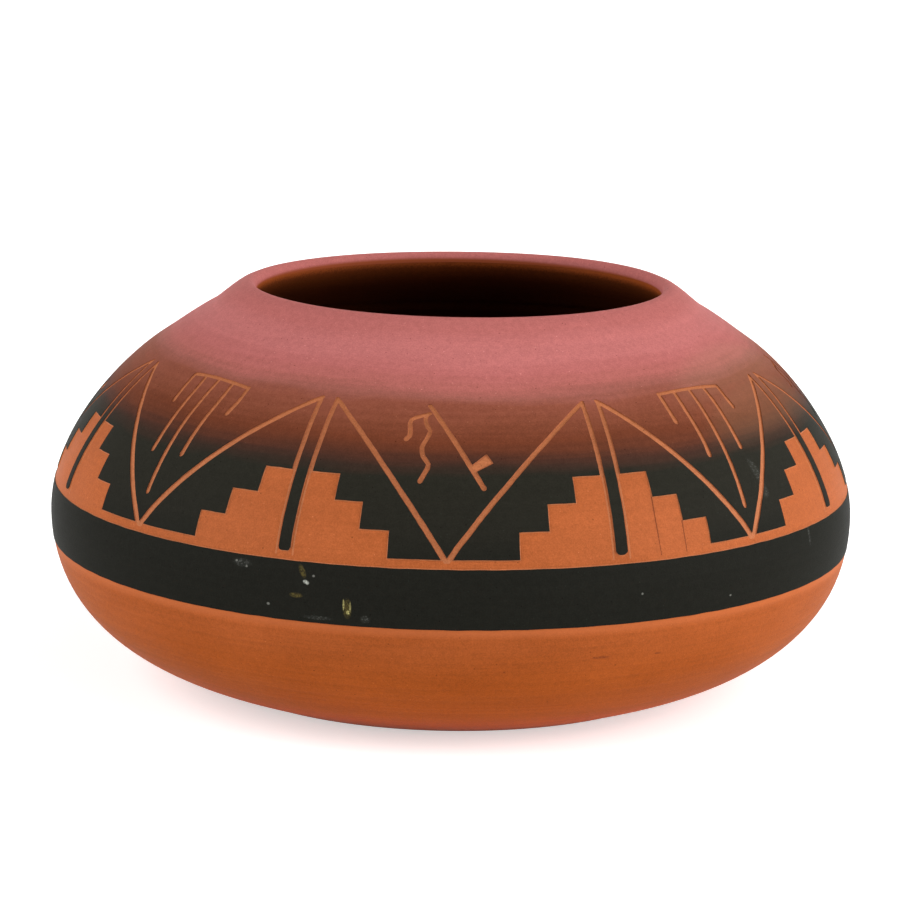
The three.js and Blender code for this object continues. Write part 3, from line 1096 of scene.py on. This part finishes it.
# The band and the loose patches each stand for the node that they lie nearest to
panels = [f"black_panel_{number:02}" for number in range(1, 2 * len(valleys) + 1)]
for node in ["black_band", *panels]:
    node_middle = sum(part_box(node), Vector()) / 2 / MM
    gaps = [np.linalg.norm(box_middle(patch) - node_middle) for patch in patches]
    nearest = patches.pop(int(np.argmin(gaps)))
    slip_coat(nearest).piece(f"{node}_slip", node, "black_slip", black_surface)


# Floor

def is_seen_straight(tree):
    """1 on camera, glossy and transmission rays, which see the floor and the world as white."""
    path = tree.nodes.new("ShaderNodeLightPath")
    most = path.outputs["Is Camera Ray"]
    for name in ("Is Glossy Ray", "Is Transmission Ray"):
        made = tree.nodes.new("ShaderNodeMath")
        made.operation = "MAXIMUM"
        tree.links.new(most, made.inputs[0])
        tree.links.new(path.outputs[name], made.inputs[1])
        most = made.outputs[0]
    return most


floor_material = bpy.data.materials.new("pale_floor")
floor_material.use_nodes = True
floor_tree = floor_material.node_tree
floor_shader = floor_tree.nodes["Principled BSDF"]
floor_shader.inputs["Base Color"].default_value = (floor_shade, floor_shade, floor_shade, 1)
floor_shader.inputs["Roughness"].default_value = 1
floor_shader.inputs["Specular IOR Level"].default_value = 0
floor_shader.inputs["Emission Color"].default_value = (1, 1, 1, 1)
glow = floor_tree.nodes.new("ShaderNodeMath")
glow.operation = "MULTIPLY"
glow.inputs[1].default_value = floor_glow
floor_tree.links.new(is_seen_straight(floor_tree), glow.inputs[0])
floor_tree.links.new(glow.outputs[0], floor_shader.inputs["Emission Strength"])

floor_mesh = bpy.data.meshes.new("floor")
corner_sides = ((-1, -1), (1, -1), (1, 1), (-1, 1))
floor_corners = [(x * floor_reach, y * floor_reach, -floor_drop) for x, y in corner_sides]
floor_mesh.from_pydata(floor_corners, [], [(0, 1, 2, 3)])
floor_mesh.materials.append(floor_material)
floor = bpy.data.objects.new("floor", floor_mesh)
bpy.context.scene.collection.objects.link(floor)


# Light: soft lamps on both sides, and an even room

def lamp(name, degrees, elevation, strength):
    """A soft distant lamp, at an angle round the bowl and an elevation."""
    turn, rise = math.radians(degrees), math.radians(elevation)
    level = math.cos(rise)
    towards = Vector((math.sin(turn) * level, -math.cos(turn) * level, math.sin(rise)))
    light = bpy.data.lights.new(name, "SUN")
    light.energy = strength
    light.angle = math.radians(lamp_spread)
    made = bpy.data.objects.new(name, light)
    made.rotation_euler = towards.to_track_quat("Z", "Y").to_euler()
    bpy.context.scene.collection.objects.link(made)


for name, settings in lamps.items():
    lamp(name, *settings)

world = bpy.data.worlds.new("studio")
world.use_nodes = True
bpy.context.scene.world = world
world_tree = world.node_tree
world_level = world_tree.nodes.new("ShaderNodeMapRange")
world_level.inputs[3].default_value = room_light
world_tree.links.new(is_seen_straight(world_tree), world_level.inputs[0])
world_tree.nodes["Background"].inputs["Color"].default_value = (1, 1, 1, 1)
world_tree.links.new(world_level.outputs[0], world_tree.nodes["Background"].inputs["Strength"])
bpy.context.scene.view_settings.view_transform = "Standard"


# Camera

def tilted(first, second, degrees):
    """Two directions at right angles, the first turned towards the second and the second away."""
    angle = math.radians(degrees)
    across, along = math.cos(angle), math.sin(angle)
    return first * across + second * along, second * across - first * along


forward, fall = direction(camera_rise).tolist()
ahead = Vector((0, forward, -fall))
rightward = Vector((1, 0, 0))
upwards = rightward.cross(ahead)
camera_distance = camera_radii * belly_radius * MM
camera_place = Vector((0, 0, belly_radius * MM / 2)) - ahead * camera_distance
ahead, rightward = tilted(ahead, rightward, camera_pan)
ahead, upwards = tilted(ahead, upwards, camera_tilt)
rightward, upwards = tilted(rightward, upwards, camera_roll)
camera_data = bpy.data.cameras.new("camera")
camera_data.lens = camera_lens
camera_data.sensor_width = sensor_width
camera = bpy.data.objects.new("camera", camera_data)
camera_turn = Matrix((rightward, upwards, -ahead)).transposed().to_4x4()
camera.matrix_world = Matrix.Translation(camera_place) @ camera_turn
bpy.context.scene.collection.objects.link(camera)
bpy.context.scene.camera = camera
